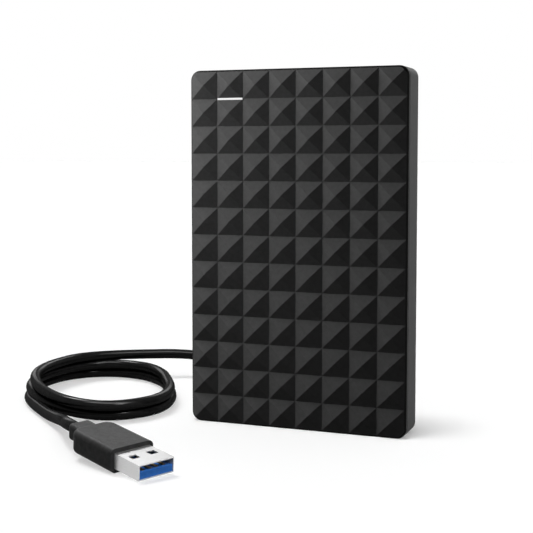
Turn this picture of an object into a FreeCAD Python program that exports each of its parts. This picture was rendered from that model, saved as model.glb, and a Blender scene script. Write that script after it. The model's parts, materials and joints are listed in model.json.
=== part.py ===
import FreeCAD, Part
import math
import os
import Sketcher

# Portable hard drive with its lead, in millimetres: +Z up, patterned cover facing -Y.

# Driving sizes, kept in a spreadsheet
SIZES = {
    "wall": 1.5,
    "corner_radius": 3.2,
    "back_edge_radius": 1.1,
    "pyramid_columns": 8,
    "pyramid_rows": 13,
    "pyramid_height": 1.1,
    "pyramid_border": 0.5,
    "edge_chamfer": 1.65,
    "cover_floor": 1.5,
    "lip_depth": 1.2,
    "lip_thickness": 0.9,
    "lip_clearance": 0.1,
    "lip_corner_ease": 0.3,
    "reveal_width": 0.4,
    "reveal_depth": 0.5,
    "side_gap": 0.575,
    "end_gap": 1.0,
    "front_gap": 1.5,
    "back_gap": 1.4,
    "bay_length": 12.65,
    "bumper_reach": 9.0,
    "light_bar_height": 0.6,
    "light_bar_proud": 0.15,
    "light_flange": 0.8,
    "light_flange_depth": 0.8,
    "fit_clearance": 0.05,
    "platter_radius": 32.5,
    "platter_bore": 10.0,
    "platter_thickness": 0.65,
    "platter_spacing": 1.6,
    "chamber_gap": 0.825,
    "chamber_wall": 1.6,
    "bay_margin": 1.7725,
    "bay_wall": 1.9,
    "bay_side_wall": 2.5,
    "bay_left_wall": 7.9,
    "bay_corner": 3.0,
    "lid_thickness": 0.5,
    "gasket_thickness": 0.2,
    "lid_room": 0.45,
    "clamp_thickness": 0.5,
    "flange_thickness": 0.5,
    "flange_width": 2.0,
    "floor_room": 0.55,
    "base_floor": 1.6,
    "base_corner": 1.0,
    "lid_inset": 0.3,
    "gasket_inset": 0.5,
    "gasket_grow": 0.2,
    "sleeve_seat": 0.5,
    "board_recess": 0.9,
    "drive_board_thickness": 0.8,
    "drive_board_edge": 1.4,
    "drive_board_reach": 6.0,
    "drive_board_gap": 0.6,
    "drive_board_corner": 2.0,
    "drive_board_play": 0.2,
    "motor_hole_radius": 9.0,
    "hub_rim": 1.0,
    "hub_sink": 0.1,
    "hub_plate": 0.5,
    "hub_room": 0.3,
    "stator_slot_radius": 0.55,
    "stator_floor": 0.4,
    "rotor_magnet_thickness": 0.7,
    "air_gap": 0.3,
    "shaft_radius": 2.0,
    "sleeve_thickness": 1.5,
    "pivot_radius": 3.0,
    "arm_hub_radius": 5.2,
    "arm_fork_length": 4.2,
    "arm_thickness": 0.3,
    "arm_air": 0.3,
    "arm_tip_half": 1.6,
    "middle_arm_thickness": 0.6,
    "suspension_thickness": 0.1,
    "head_gap": 0.05,
    "head_length": 1.2,
    "head_width": 0.8,
    "tab_length": 2.2,
    "ramp_air": 0.05,
    "ramp_stop": 2.0,
    "coil_thickness": 1.2,
    "coil_winding": 2.0,
    "magnet_thickness": 0.6,
    "yoke_thickness": 0.7,
    "yoke_rim": 1.6,
    "yoke_gap": 0.1,
    "yoke_post_radius": 0.9,
    "screw_radius": 0.8,
    "screw_head_radius": 1.5,
    "screw_head_height": 0.5,
    "screw_hole_clearance": 0.2,
    "screw_end_gap": 0.3,
    "lid_screw_inset": 3.2,
    "lid_screw_depth": 2.8,
    "bridge_thickness": 1.0,
    "bridge_width": 56.0,
    "bridge_offset": 2.4,
    "bridge_gap": 1.8,
    "bridge_roof_gap": 0.3,
    "bridge_screw_inset": 3.0,
    "chip_side": 6.0,
    "chip_height": 0.9,
    "capacitor_length": 1.6,
    "capacitor_side": 0.8,
    "lamp_side": 1.6,
    "lamp_height": 0.5,
    "lens_radius": 0.55,
    "lens_height": 0.4,
    "lens_gap": 0.2,
    "post_radius": 2.2,
    "connector_width": 37.5,
    "connector_height": 3.6,
    "connector_depth": 5.0,
    "connector_block": 1.5,
    "connector_tongue": 1.0,
    "connector_edge": 0.8,
    "connector_clearance": 0.2,
    "connector_room": 0.4,
    "socket_flange": 1.0,
    "socket_depth": 2.4,
    "port_width": 12.6,
    "port_height": 2.9,
    "port_depth": 6.4,
    "port_room": 0.3,
    "port_corner": 0.8,
    "port_sink": 0.4,
    "port_divider": 1.6,
    "port_tongue_thickness": 0.8,
    "port_tongue_edge": 0.9,
    "port_tongue_sink": 1.2,
    "sheet_metal": 0.3,
    "cord_diameter": 3.8,
    "coil_half_width": 25.6,
    "coil_half_depth": 37.4,
    "coil_height": 11.0,
    "coil_band": 11.0,
    "plug_shell_width": 12.0,
    "plug_shell_height": 4.5,
    "plug_shell_length": 11.75,
    "plug_shell_sunk": 3.0,
    "plug_hole_side": 2.6,
    "plug_hole_spread": 3.1,
    "plug_hole_reach": 4.0,
    "plug_tongue_height": 1.9,
    "plug_tongue_sink": 0.4,
    "plug_contact_width": 1.0,
    "plug_contact_height": 0.2,
    "plug_contact_spread": 7.0,
    "plug_grip_width": 14.6,
    "plug_grip_height": 7.2,
    "plug_grip_length": 22.0,
    "plug_grip_shoulder": 3.6,
    "plug_grip_edge": 1.7,
    "plug_neck_length": 6.5,
    "plug_neck_width": 7.4,
    "plug_neck_height": 5.2,
    "plug_neck_edge": 1.3,
    "drive_plug_length": 18.0,
    "drive_plug_play": 0.4,
    "drive_plug_insert": 0.4,
}

# Proportions of the mechanism, in disk radii
PIVOT_RISE = 1.157
PIVOT_SIDE = 0.4923
COIL_REACH = 0.54
ARM_REACH = 1.046
ARM_TIP = 0.732
BAY_START = 0.695
WAIST_RISE = 0.54

# Angles of the head actuator in the front view, in degrees
PARKED_ANGLE = 191.5
COIL_TURN = -130.0
COIL_HALF_ANGLE = 15.0
COIL_HOLE_HALF_ANGLE = 7.0
FORK_HALF_ANGLE = 40.0
YOKE_START = 36.0
YOKE_SPAN = 90.0
YOKE_POST_INSET = 4.0
MAGNET_INSET = 9.0
RAMP_SPAN = 8.0

# How the lead lies: azimuth of the view it is laid out in, lean of the coil in it, and how the plugs lie
LAYOUT_AZIMUTH = 21.0
COIL_LEAN = 8.4
HOST_PLUG_HEADING = -27.0
HOST_PLUG_PITCH = 5.5
HOST_PLUG_ROLL = 2.0
DRIVE_PLUG_HEADING = -20.0

# How far a cutting tool reaches past what it cuts, and how near two places count as the same
OVERRUN = 2.0
SAME = 0.01

doc = FreeCAD.newDocument("external_hard_drive")
sheet = doc.addObject("Spreadsheet::Sheet", "sizes")
for row, (alias, number) in enumerate(SIZES.items(), start=1):
    sheet.set(f"A{row}", alias)
    sheet.set(f"B{row}", str(number))
    sheet.setAlias(f"B{row}", alias)
doc.recompute()

NODES = []


class Dim:
    """A size: its present value and the spreadsheet expression that drives it."""

    def __init__(self, value, text):
        self.value = value
        self.text = text

    def join(self, other, sign, value):
        return Dim(value, f"({self.text} {sign} {dim(other).text})")

    def __add__(self, other):
        return self.join(other, "+", self.value + dim(other).value)

    def __sub__(self, other):
        return self.join(other, "-", self.value - dim(other).value)

    def __mul__(self, other):
        return self.join(other, "*", self.value * dim(other).value)

    def __truediv__(self, other):
        return self.join(other, "/", self.value / dim(other).value)

    def __neg__(self):
        return Dim(-self.value, f"(0 - {self.text})")

    def __radd__(self, other):
        return dim(other) + self

    def __rsub__(self, other):
        return dim(other) - self

    def __rmul__(self, other):
        return dim(other) * self


def dim(number):
    """A Dim as it is, or a plain number as a Dim."""
    return number if isinstance(number, Dim) else Dim(float(number), f"({float(number):.6f})")


def size(alias):
    """The driving size of that name."""
    return Dim(float(SIZES[alias]), f"sizes.{alias}")


def bind(thing, field, number):
    """Drive one property of a feature by a size."""
    thing.setExpression(field, dim(number).text)


def place(thing, x, y, z, rotation=None):
    """Put a feature at a driven place, turned if asked."""
    spot = FreeCAD.Vector(dim(x).value, dim(y).value, dim(z).value)
    thing.Placement = FreeCAD.Placement(spot, rotation or FreeCAD.Rotation())
    for axis, number in (("x", x), ("y", y), ("z", z)):
        bind(thing, f"Placement.Base.{axis}", number)


def node(thing, name):
    """Name a finished sub-part and list it for export."""
    thing.Label = name
    NODES.append(thing)
    return thing


# Primitives and joins

def box(name, x0, x1, y0, y1, z0, z1):
    """A box between two driven corners."""
    made = doc.addObject("Part::Box", name)
    bind(made, "Length", dim(x1) - x0)
    bind(made, "Width", dim(y1) - y0)
    bind(made, "Height", dim(z1) - z0)
    place(made, x0, y0, z0)
    return made


ALONG_Y = FreeCAD.Rotation(FreeCAD.Vector(1, 0, 0), -90)


def rod(name, x, z, radius, y0, y1):
    """A round bar along Y."""
    made = doc.addObject("Part::Cylinder", name)
    bind(made, "Radius", radius)
    bind(made, "Height", dim(y1) - y0)
    place(made, x, y0, z, ALONG_Y)
    return made


def sector(name, x, z, inner, outer, start, span, y0, y1):
    """A ring sector about a Y axis; start and span are front view angles in degrees."""
    turn = FreeCAD.Rotation(FreeCAD.Vector(0, -1, 0), start + span)
    pie = doc.addObject("Part::Cylinder", name + "_pie")
    bind(pie, "Radius", outer)
    bind(pie, "Height", dim(y1) - y0)
    pie.Angle = span
    place(pie, x, y0, z, turn.multiply(ALONG_Y))
    return cut(name, pie, rod(name + "_core", x, z, inner, y0, y1))


def cut(name, base, *tools):
    """The base with every tool taken out of it."""
    for index, tool in enumerate(tools):
        made = doc.addObject("Part::Cut", name if index == len(tools) - 1 else f"{name}_cut{index}")
        made.Base = base
        made.Tool = tool
        base = made
    return base


def fuse(name, *pieces):
    """Pieces joined into one solid."""
    made = doc.addObject("Part::MultiFuse", name)
    made.Shapes = list(pieces)
    made.Refine = True
    return made


def group(name, *pieces):
    """Separate solids kept together in one sub-part."""
    made = doc.addObject("Part::Compound", name)
    made.Links = list(pieces)
    return made


# Sketches and bodies

def new_body(name):
    return doc.addObject("PartDesign::Body", name)


def sketch_on(body, role, offset, name):
    """A sketch on one of the body's own origin planes, moved along its normal by a driven offset."""
    made = body.newObject("Sketcher::SketchObject", name)
    plane = [feature for feature in body.Origin.OriginFeatures if feature.Role == role][0]
    made.AttachmentSupport = [(plane, "")]
    made.MapMode = "FlatFace"
    bind(made, "AttachmentOffset.Base.z", offset)
    return made


def front_sketch(body, y, name):
    """A sketch in the front view, at a driven depth y; its normal points at -Y."""
    return sketch_on(body, "XZ_Plane", -dim(y), name)


def pin(sketch, geometry, point, x, z):
    """Hold a point of a sketch at driven coordinates."""
    for kind, number in (("DistanceX", dim(x)), ("DistanceY", dim(z))):
        index = sketch.addConstraint(Sketcher.Constraint(kind, -1, 1, geometry, point, number.value))
        sketch.setExpression(f"Constraints[{index}]", number.text)


def pin_radius(sketch, geometry, radius):
    index = sketch.addConstraint(Sketcher.Constraint("Radius", geometry, dim(radius).value))
    sketch.setExpression(f"Constraints[{index}]", dim(radius).text)


def vector(x, z):
    return FreeCAD.Vector(dim(x).value, dim(z).value, 0)


def draw_polygon(sketch, points):
    """A closed outline of straight lines through driven points."""
    first = sketch.GeometryCount
    count = len(points)
    for index in range(count):
        following = points[(index + 1) % count]
        sketch.addGeometry(Part.LineSegment(vector(*points[index]), vector(*following)))
    for index in range(count):
        joint = Sketcher.Constraint("Coincident", first + index, 2, first + (index + 1) % count, 1)
        sketch.addConstraint(joint)
    for index, (x, z) in enumerate(points):
        pin(sketch, first + index, 1, x, z)


def draw_circle(sketch, x, z, radius):
    made = sketch.addGeometry(Part.Circle(vector(x, z), FreeCAD.Vector(0, 0, 1), dim(radius).value))
    pin(sketch, made, 3, x, z)
    pin_radius(sketch, made, radius)


def draw_rounded(sketch, x0, x1, z0, z1, radius):
    """A rectangle with four round corners."""
    x0, x1, z0, z1, radius = dim(x0), dim(x1), dim(z0), dim(z1), dim(radius)
    runs = [
        ((x0 + radius, z0), (x1 - radius, z0)),
        ((x1, z0 + radius), (x1, z1 - radius)),
        ((x1 - radius, z1), (x0 + radius, z1)),
        ((x0, z1 - radius), (x0, z0 + radius)),
    ]
    centres = [
        (x1 - radius, z0 + radius),
        (x1 - radius, z1 - radius),
        (x0 + radius, z1 - radius),
        (x0 + radius, z0 + radius),
    ]
    lines = [sketch.addGeometry(Part.LineSegment(vector(*a), vector(*b))) for a, b in runs]
    for index, centre in enumerate(centres):
        circle = Part.Circle(vector(*centre), FreeCAD.Vector(0, 0, 1), radius.value)
        turn = math.radians(90 * index)
        arc = sketch.addGeometry(Part.ArcOfCircle(circle, turn - math.pi / 2, turn))
        sketch.addConstraint(Sketcher.Constraint("Coincident", lines[index], 2, arc, 1))
        sketch.addConstraint(Sketcher.Constraint("Coincident", lines[(index + 1) % 4], 1, arc, 2))
        pin_radius(sketch, arc, radius)
    for line, (start, end) in zip(lines, runs):
        pin(sketch, line, 1, *start)
        pin(sketch, line, 2, *end)


def pad(body, sketch, length, back=False):
    """Add material from a sketch, along its normal or against it."""
    made = body.newObject("PartDesign::Pad", sketch.Name + "_pad")
    made.Profile = sketch
    made.Reversed = back
    bind(made, "Length", length)
    return made


def pocket(body, sketch, length, along=False):
    """Take material from a sketch, against its normal or along it."""
    made = body.newObject("PartDesign::Pocket", sketch.Name + "_pocket")
    made.Profile = sketch
    made.Reversed = along
    bind(made, "Length", length)
    return made


def repeat(body, feature, role, length, count):
    """Copies of a feature in a row along an axis of the body."""
    made = body.newObject("PartDesign::LinearPattern", feature.Name + "_row")
    made.Originals = [feature]
    axis = [item for item in body.Origin.OriginFeatures if item.Role == role][0]
    made.Direction = (axis, [""])
    bind(made, "Length", length)
    bind(made, "Occurrences", count)
    body.Tip = made
    return made


def edge_numbers(shape, test):
    """Numbers of the edges whose middle passes a test."""
    return [
        index
        for index, edge in enumerate(shape.Edges, start=1)
        if test(edge.valueAt((edge.FirstParameter + edge.LastParameter) / 2))
    ]


def edges_where(shape, test):
    """Names of the edges whose middle passes a test."""
    return [f"Edge{index}" for index in edge_numbers(shape, test)]


def same(first, second):
    return abs(first - dim(second).value) < SAME


def level(edge_y):
    return lambda point: same(point.y, edge_y)


def soften(name, base, radius, test):
    """A solid with those edges rounded whose middle passes a test."""
    doc.recompute()
    made = doc.addObject("Part::Fillet", name)
    made.Base = base
    made.Edges = [(index, radius, radius) for index in edge_numbers(base.Shape, test)]
    return made


# Places that follow from the sizes

wall = size("wall")
clear = size("fit_clearance")
platter_r = size("platter_radius")
platter_t = size("platter_thickness")

drive_width = 2 * (platter_r + size("chamber_gap") + size("chamber_wall"))
pivot_rise = platter_r * PIVOT_RISE
coil_inner = size("arm_hub_radius") + size("arm_fork_length")
coil_outer = platter_r * COIL_REACH
yoke_outer = coil_outer + size("yoke_rim")
drive_length = (drive_width / 2 + pivot_rise + yoke_outer + size("bay_margin") + size("bay_wall")
                + size("connector_depth"))
drive_depth = (size("lid_thickness") + size("lid_room") + size("clamp_thickness") + 2 * platter_t
               + size("platter_spacing") + size("flange_thickness") + size("floor_room")
               + size("base_floor"))
case_width = drive_width + 2 * size("side_gap") + 2 * wall
case_height = drive_length + size("end_gap") + size("bay_length") + 2 * wall
case_depth = (size("pyramid_height") + size("cover_floor") + size("front_gap") + drive_depth
              + size("back_gap") + wall)

half_case = case_width / 2
half_drive = drive_width / 2
y_apex = -case_depth / 2
y_valley = y_apex + size("pyramid_height")
y_cover = y_valley + size("cover_floor")
y_drive = y_cover + size("front_gap")
y_drive_back = y_drive + drive_depth
y_tray = y_drive_back + size("back_gap")
y_back = y_tray + wall
z_drive = wall + size("end_gap")
z_drive_top = z_drive + drive_length
z_roof = z_drive_top + size("bay_length")

pitch_x = (case_width - 2 * size("pyramid_border")) / size("pyramid_columns")
pitch_z = (case_height - 2 * size("pyramid_border")) / size("pyramid_rows")
first_line_x = size("pyramid_border") - half_case
first_line_z = size("pyramid_border")

light_x = first_line_x + 1.5 * pitch_x
light_z = case_height - size("pyramid_border") - pitch_z
light_half = pitch_x / 2 - 4 * clear

y_rim = y_drive + size("lid_thickness")
y_clamp = y_rim + size("lid_room")
y_front_platter = y_clamp + size("clamp_thickness")
y_spacer = y_front_platter + platter_t
y_back_platter = y_spacer + size("platter_spacing")
y_flange = y_back_platter + platter_t
y_hub_end = y_flange + size("flange_thickness")
y_chamber = y_hub_end + size("floor_room")
y_board = y_drive_back - size("board_recess")
y_middle = y_spacer + size("platter_spacing") / 2

spindle_z = z_drive + half_drive
pivot_x = platter_r * PIVOT_SIDE
pivot_z = spindle_z + pivot_rise
chamber_r = platter_r + size("chamber_gap")


# Casing

def make_front_cover():
    """Moulded cover: a field of four sided pyramids, a locating lip behind, a slot for the light."""
    stock = 0.3
    body = new_body("front_cover_body")
    plate = front_sketch(body, y_cover, "cover_outline")
    draw_rounded(plate, -half_case, half_case, 0, case_height, size("corner_radius"))
    blank = pad(body, plate, y_cover - y_apex + stock)
    doc.recompute()

    chamfer = body.newObject("PartDesign::Chamfer", "cover_chamfer")
    chamfer.Base = (blank, edges_where(blank.Shape, level(y_apex - stock)))
    bind(chamfer, "Size", size("edge_chamfer") + stock)

    # V grooves reach past the blank, so that neighbouring slopes meet in a sharp ridge at y_apex
    reach = 1.5
    depth = size("pyramid_height") * reach
    upright = sketch_on(body, "XY_Plane", -OVERRUN, "upright_groove")
    half = pitch_x / 2 * reach
    draw_polygon(upright, [
        (first_line_x, y_valley),
        (first_line_x - half, y_valley - depth),
        (first_line_x + half, y_valley - depth),
    ])
    groove = pocket(body, upright, case_height + 2 * OVERRUN, along=True)
    repeat(body, groove, "X_Axis", pitch_x * size("pyramid_columns"), size("pyramid_columns") + 1)

    level_groove = sketch_on(body, "YZ_Plane", -half_case - OVERRUN, "level_groove")
    half = pitch_z / 2 * reach
    draw_polygon(level_groove, [
        (y_valley, first_line_z),
        (y_valley - depth, first_line_z + half),
        (y_valley - depth, first_line_z - half),
    ])
    groove = pocket(body, level_groove, case_width + 2 * OVERRUN, along=True)
    repeat(body, groove, "Z_Axis", pitch_z * size("pyramid_rows"), size("pyramid_rows") + 1)

    inset = wall + size("lip_clearance")
    inner = inset + size("lip_thickness")
    lip = front_sketch(body, y_cover, "cover_lip")
    draw_rounded(lip, inset - half_case, half_case - inset, inset, case_height - inset,
                 size("corner_radius") - inset + size("lip_corner_ease"))
    draw_rounded(lip, inner - half_case, half_case - inner, inner, case_height - inner,
                 size("corner_radius") - inner + size("lip_corner_ease"))
    pad(body, lip, size("lip_depth"), back=True)

    slot = front_sketch(body, y_cover, "light_slot")
    room = light_half + clear
    tall = size("light_bar_height") / 2 + clear
    draw_polygon(slot, [
        (light_x - room, light_z - tall),
        (light_x + room, light_z - tall),
        (light_x + room, light_z + tall),
        (light_x - room, light_z + tall),
    ])
    pocket(body, slot, y_cover - y_apex + stock, along=True)
    return node(body, "front_cover")


def make_back_cover():
    """Moulded tray: four side walls and the back, a stepped rim, a port window and two screw posts."""
    body = new_body("back_cover_body")
    outline = front_sketch(body, y_back, "tray_outline")
    draw_rounded(outline, -half_case, half_case, 0, case_height, size("corner_radius"))
    blank = pad(body, outline, y_back - y_cover)
    doc.recompute()

    fillet = body.newObject("PartDesign::Fillet", "tray_back_edge")
    fillet.Base = (blank, edges_where(blank.Shape, level(y_back)))
    bind(fillet, "Radius", size("back_edge_radius"))

    hollow = front_sketch(body, y_cover, "tray_hollow")
    draw_rounded(hollow, wall - half_case, half_case - wall, wall, case_height - wall,
                 size("corner_radius") - wall)
    pocket(body, hollow, y_tray - y_cover)

    step = size("reveal_depth")
    reveal = front_sketch(body, y_cover, "tray_reveal")
    draw_rounded(reveal, -half_case - OVERRUN, half_case + OVERRUN, -OVERRUN, case_height + OVERRUN,
                 size("corner_radius") + OVERRUN)
    draw_rounded(reveal, step - half_case, half_case - step, step, case_height - step,
                 size("corner_radius") - step)
    pocket(body, reveal, size("reveal_width"))

    window = sketch_on(body, "XY_Plane", case_height + OVERRUN, "port_window")
    room = size("port_room")
    draw_rounded(window, -size("port_width") / 2 - room, size("port_width") / 2 + room,
                 port_y0 - room, port_y1 + room, size("port_corner"))
    pocket(body, window, wall + OVERRUN + size("port_room"))

    posts = front_sketch(body, y_tray, "tray_posts")
    holes = front_sketch(body, bridge_y1, "tray_post_holes")
    for side in (-1, 1):
        draw_circle(posts, side * bridge_screw_x, bridge_screw_z, size("post_radius"))
        draw_circle(holes, side * bridge_screw_x, bridge_screw_z, size("screw_radius") + clear)
    pad(body, posts, y_tray - bridge_y1)
    pocket(body, holes, y_tray - bridge_y1)
    return node(body, "back_cover")


def make_light_pipe():
    """Clear bar that fills the slot, with a flange behind the cover and a stem to the lamp."""
    half_tall = size("light_bar_height") / 2
    bar = box("light_bar", light_x - light_half, light_x + light_half,
              y_valley - size("light_bar_proud"), y_cover, light_z - half_tall, light_z + half_tall)
    wide = light_half + size("light_flange")
    tall = half_tall + size("light_flange")
    flange = box("light_pipe_flange", light_x - wide, light_x + wide,
                 y_cover, y_cover + size("light_flange_depth"), light_z - tall, light_z + tall)
    half = size("lamp_side") / 2
    stem = box("light_pipe_stem", light_x - half, light_x + half, y_cover, lamp_y - size("lens_gap"),
               light_z - half, light_z + half)
    return node(fuse("light_pipe_solid", bar, flange, stem), "light_pipe")


def make_bumpers():
    """Four rubber corners between the mechanism and the casing."""
    hollow = new_body("bumper_limit")
    outline = front_sketch(hollow, y_tray, "bumper_limit_outline")
    draw_rounded(outline, wall - half_case, half_case - wall, wall, case_height - wall,
                 size("corner_radius") - wall)
    pad(hollow, outline, y_tray - y_drive)
    pieces = []
    for side in (-1, 1):
        outer = side * (half_case - wall)
        inner = side * (half_drive - size("bumper_reach"))
        x0, x1 = (outer, inner) if side < 0 else (inner, outer)
        spans = {
            "bottom": (wall, z_drive + size("bumper_reach")),
            "top": (z_drive_top - size("bumper_reach"), z_drive_top + size("end_gap")),
        }
        for end, (z0, z1) in spans.items():
            name = f"bumper_{'left' if side < 0 else 'right'}_{end}"
            block = box(name + "_block", x0, x1, y_drive, y_tray, z0, z1)
            seat = box(name + "_seat", -half_drive, half_drive, y_drive - OVERRUN,
                       y_drive_back, z_drive, z_drive_top)
            piece = doc.addObject("Part::Common", name)
            piece.Base = cut(name + "_cup", block, seat)
            piece.Tool = hollow
            pieces.append(piece)
    return node(group("bumper_group", *pieces), "corner_bumpers")


# Bridge board and its parts in the bay above the mechanism

bridge_y0 = y_middle + size("bridge_offset")
bridge_y1 = bridge_y0 + size("bridge_thickness")
bridge_z0 = z_drive_top + size("bridge_gap")
bridge_z1 = z_roof - size("bridge_roof_gap")
bridge_screw_x = size("bridge_width") / 2 - size("bridge_screw_inset")
bridge_screw_z = bridge_z1 - size("bridge_screw_inset")
port_y1 = bridge_y0
port_y0 = port_y1 - size("port_height")
port_top = case_height - size("port_sink")
port_z0 = port_top - size("port_depth")
port_half = size("port_width") / 2
plug_y0 = bridge_y0 - size("connector_height")
plug_half = size("connector_width") / 2
notch_z = z_drive_top - size("connector_depth")
tongue_y = plug_y0 + size("connector_height") / 2
tongue_half = size("connector_tongue") / 2
socket_top = bridge_z0 + size("socket_depth")
lamp_y = bridge_y0 - size("lamp_height") - size("lens_height")


def make_bridge():
    """Circuit board that turns the mechanism's own connector into the port, with its parts."""
    half = size("bridge_width") / 2
    blank = box("bridge_blank", -half, half, bridge_y0, bridge_y1, bridge_z0, bridge_z1)
    hole_r = size("screw_radius") + size("screw_hole_clearance")
    holes = [rod(f"bridge_hole_{side}", side * bridge_screw_x, bridge_screw_z, hole_r,
                 bridge_y0 - OVERRUN, bridge_y1 + OVERRUN) for side in (-1, 1)]
    node(cut("bridge_blank_drilled", blank, *holes), "bridge_board")

    screws = []
    for side in (-1, 1):
        x = side * bridge_screw_x
        head = rod(f"bridge_screw_head_{side}", x, bridge_screw_z, size("screw_head_radius"),
                   bridge_y0 - size("screw_head_height"), bridge_y0)
        shank = rod(f"bridge_screw_shank_{side}", x, bridge_screw_z, size("screw_radius"),
                    bridge_y0, y_tray - size("screw_end_gap"))
        screws.append(fuse(f"bridge_screw_{side}", head, shank))
    node(group("bridge_screw_group", *screws), "bridge_screws")
    make_port()
    make_bridge_socket()
    make_board_parts()


def make_port():
    """The port: a folded steel shell, split by a divider, with two contact tongues inside."""
    skin = size("sheet_metal")
    shell = box("port_outer", -port_half, port_half, port_y0, port_y1, port_z0, port_top)
    hollow = box("port_hollow", skin - port_half, port_half - skin, port_y0 + skin, port_y1 - skin,
                 port_z0 + skin, port_top + OVERRUN)
    divider_x = size("port_divider")
    divider = box("port_divider_wall", divider_x, divider_x + skin, port_y0 + size("port_height") / 2,
                  port_y1, port_z0, port_top - skin)
    node(fuse("port_solid", cut("port_can", shell, hollow), divider), "port_shell")

    edge = size("port_tongue_edge")
    middle = port_y0 + size("port_height") / 2
    thick = size("port_tongue_thickness") / 2
    spans = {
        "wide": (skin - port_half + edge, divider_x - edge),
        "narrow": (divider_x + skin + edge, port_half - skin - edge),
    }
    tongues = [box(f"port_tongue_{name}", x0, x1, middle - thick, middle + thick,
                   port_z0 + skin, port_top - size("port_tongue_sink"))
               for name, (x0, x1) in spans.items()]
    node(group("port_tongue_group", *tongues), "port_tongues")


def make_bridge_socket():
    """Socket on the bridge board that takes the mechanism's connector."""
    free = size("connector_clearance")
    flange = plug_half + size("socket_flange")
    body = box("socket_body", -flange, flange, plug_y0, bridge_y0, z_drive_top + free, socket_top)
    nose = box("socket_nose", -plug_half, plug_half, plug_y0 + free, bridge_y0 - free,
               notch_z + size("connector_block") + free, z_drive_top + 2 * free)
    slot_half = plug_half - size("connector_edge") + free
    slot = box("socket_slot", -slot_half, slot_half, tongue_y - tongue_half - free,
               tongue_y + tongue_half + free, notch_z, z_drive_top + free + size("socket_flange"))
    node(cut("socket_solid", fuse("socket_blank", body, nose), slot), "bridge_socket")


def make_board_parts():
    """Chip, capacitors and status lamp on the front of the bridge board."""
    side = size("chip_side")
    long = size("capacitor_length")
    chip_x = port_half + side
    chip_z = bridge_z1 - size("bridge_roof_gap") - side
    chip = box("chip_body", chip_x, chip_x + side, bridge_y0 - size("chip_height"), bridge_y0,
               chip_z, chip_z + side)
    node(chip, "bridge_chip")
    starts = [port_half + long, port_half + 2.2 * long, chip_x + side + long, -port_half - 2 * long,
              -port_half - 3.2 * long]
    capacitors = [box(f"capacitor_{index}", x, x + long, bridge_y0 - size("capacitor_side"), bridge_y0,
                      chip_z, chip_z + size("capacitor_side"))
                  for index, x in enumerate(starts)]
    node(group("capacitor_group", *capacitors), "bridge_capacitors")

    half = size("lamp_side") / 2
    base_y = bridge_y0 - size("lamp_height")
    base = box("lamp_base", light_x - half, light_x + half, base_y, bridge_y0,
               light_z - half, light_z + half)
    lens = rod("lamp_lens", light_x, light_z, size("lens_radius"), lamp_y, base_y)
    node(fuse("lamp_solid", base, lens), "status_lamp")


# The drive mechanism: base casting, lid and boards

bay_left = half_drive - size("bay_left_wall")
bay_right = half_drive - size("bay_side_wall")
bay_z0 = spindle_z + platter_r * BAY_START
bay_z1 = notch_z - size("bay_wall")


def lid_screw_places():
    """Where the lid is screwed down: four corners, two at the waist."""
    inset = size("lid_screw_inset")
    edge = half_drive - inset
    low = z_drive + inset
    waist = spindle_z + platter_r * WAIST_RISE
    high = z_drive_top - inset
    return [(side * edge, z) for z in (low, waist, high) for side in (-1, 1)]


def hollow_chamber(body, y, depth, grow, name):
    """Take out the disk chamber and the actuator bay, grown all round by a margin."""
    disk = front_sketch(body, y, name + "_disk")
    draw_circle(disk, 0, spindle_z, chamber_r + grow)
    pocket(body, disk, depth)
    bay = front_sketch(body, y, name + "_bay")
    draw_rounded(bay, -bay_left - grow, bay_right + grow, bay_z0 - grow, bay_z1 + grow,
                 size("bay_corner") + grow)
    pocket(body, bay, depth)


def drill_lid_holes(body, y, depth, name):
    holes = front_sketch(body, y, name)
    for x, z in lid_screw_places():
        draw_circle(holes, x, z, size("screw_radius") + clear)
    pocket(body, holes, depth)


def draw_inset(sketch, inset):
    """The mechanism's outline, drawn in by a margin."""
    draw_rounded(sketch, inset - half_drive, half_drive - inset, z_drive + inset, z_drive_top - inset,
                 size("base_corner"))


base_y = y_rim + size("gasket_thickness")
board_x = half_drive - size("drive_board_edge")
board_z0 = spindle_z - size("drive_board_reach")
board_z1 = notch_z - size("drive_board_gap")


def make_drive_base():
    """Cast aluminium base with the disk chamber in front and a recess for the board behind."""
    body = new_body("drive_base_body")
    outline = front_sketch(body, y_drive_back, "base_outline")
    draw_rounded(outline, -half_drive, half_drive, z_drive, z_drive_top, size("base_corner"))
    pad(body, outline, y_drive_back - base_y)
    hollow_chamber(body, base_y, y_chamber - base_y, 0, "base")
    drill_lid_holes(body, base_y, size("lid_screw_depth") + size("screw_end_gap"), "base_lid_holes")

    recess = front_sketch(body, y_drive_back, "base_board_recess")
    play = size("drive_board_play")
    draw_rounded(recess, -board_x - play, board_x + play, board_z0 - play, board_z1 + play,
                 size("drive_board_corner") + play)
    pocket(body, recess, size("board_recess"), along=True)

    notch = sketch_on(body, "XY_Plane", z_drive_top, "base_connector_notch")
    side = plug_half + size("connector_room")
    draw_polygon(notch, [
        (-side, plug_y0 - clear),
        (side, plug_y0 - clear),
        (side, y_drive_back + OVERRUN),
        (-side, y_drive_back + OVERRUN),
    ])
    pocket(body, notch, size("connector_depth"))

    seat = front_sketch(body, y_chamber, "base_sleeve_seat")
    draw_circle(seat, 0, spindle_z, size("shaft_radius") + size("sleeve_thickness") + clear)
    pocket(body, seat, size("sleeve_seat"))
    return node(body, "drive_base")


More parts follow.
